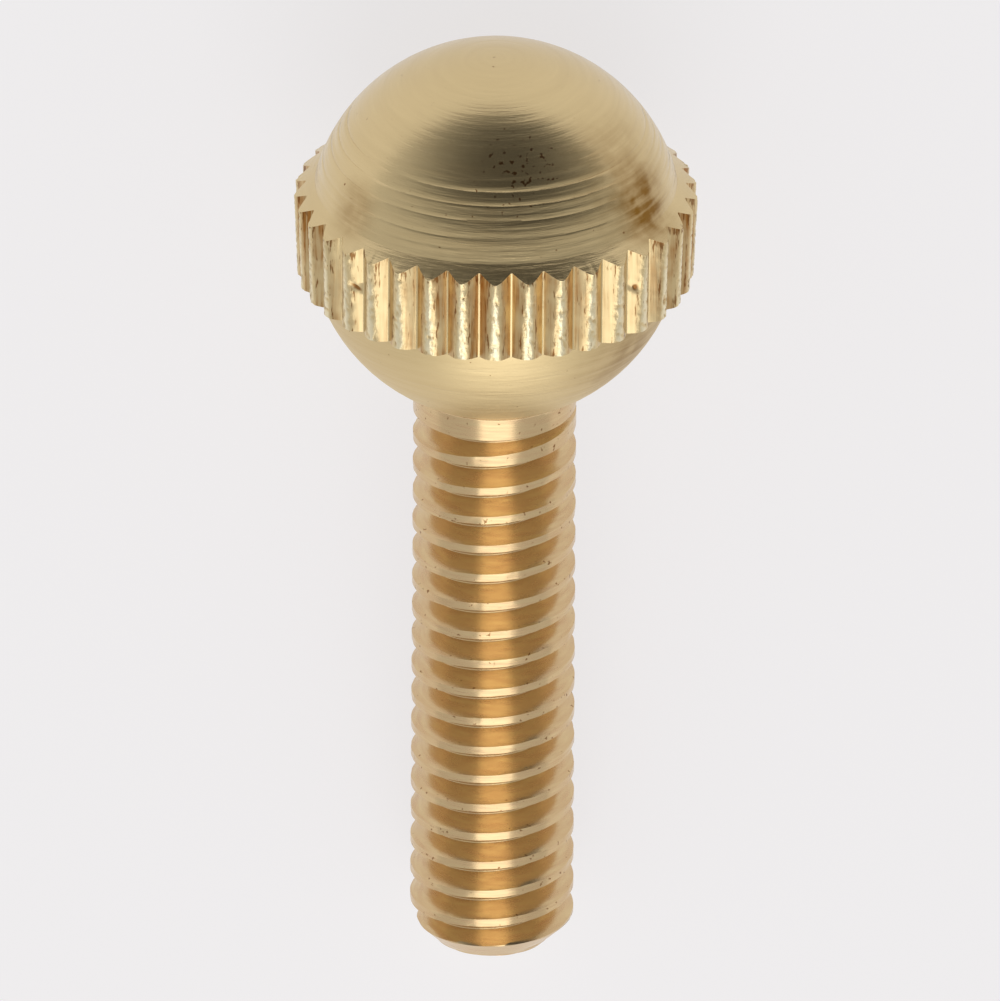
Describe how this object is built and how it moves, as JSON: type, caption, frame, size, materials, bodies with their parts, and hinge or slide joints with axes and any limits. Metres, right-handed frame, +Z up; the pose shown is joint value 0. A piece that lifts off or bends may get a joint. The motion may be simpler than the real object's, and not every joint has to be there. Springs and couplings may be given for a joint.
{
  "type": "thumb screw",
  "caption": "Solid brass thumb screw: ball-shaped head with a straight-knurled grip band, plain neck, right-hand threaded shank and chamfered tip.",
  "frame": {"origin": "on the table under the middle of the lying screw: the middle of the bounding box's bottom", "axes": "+Z up from the table, +Y from the tip towards the head; the screw's axis rises about 9 degrees towards the head"},
  "size_m": [0.0098, 0.024, 0.01],
  "materials": {
    "brass": "unlacquered turned brass, satin, with fine tool lines and a lightly tarnished knurl"
  },
  "bodies": {
    "root": {"thumb_screw": "brass"}
  },
  "joints": []
}
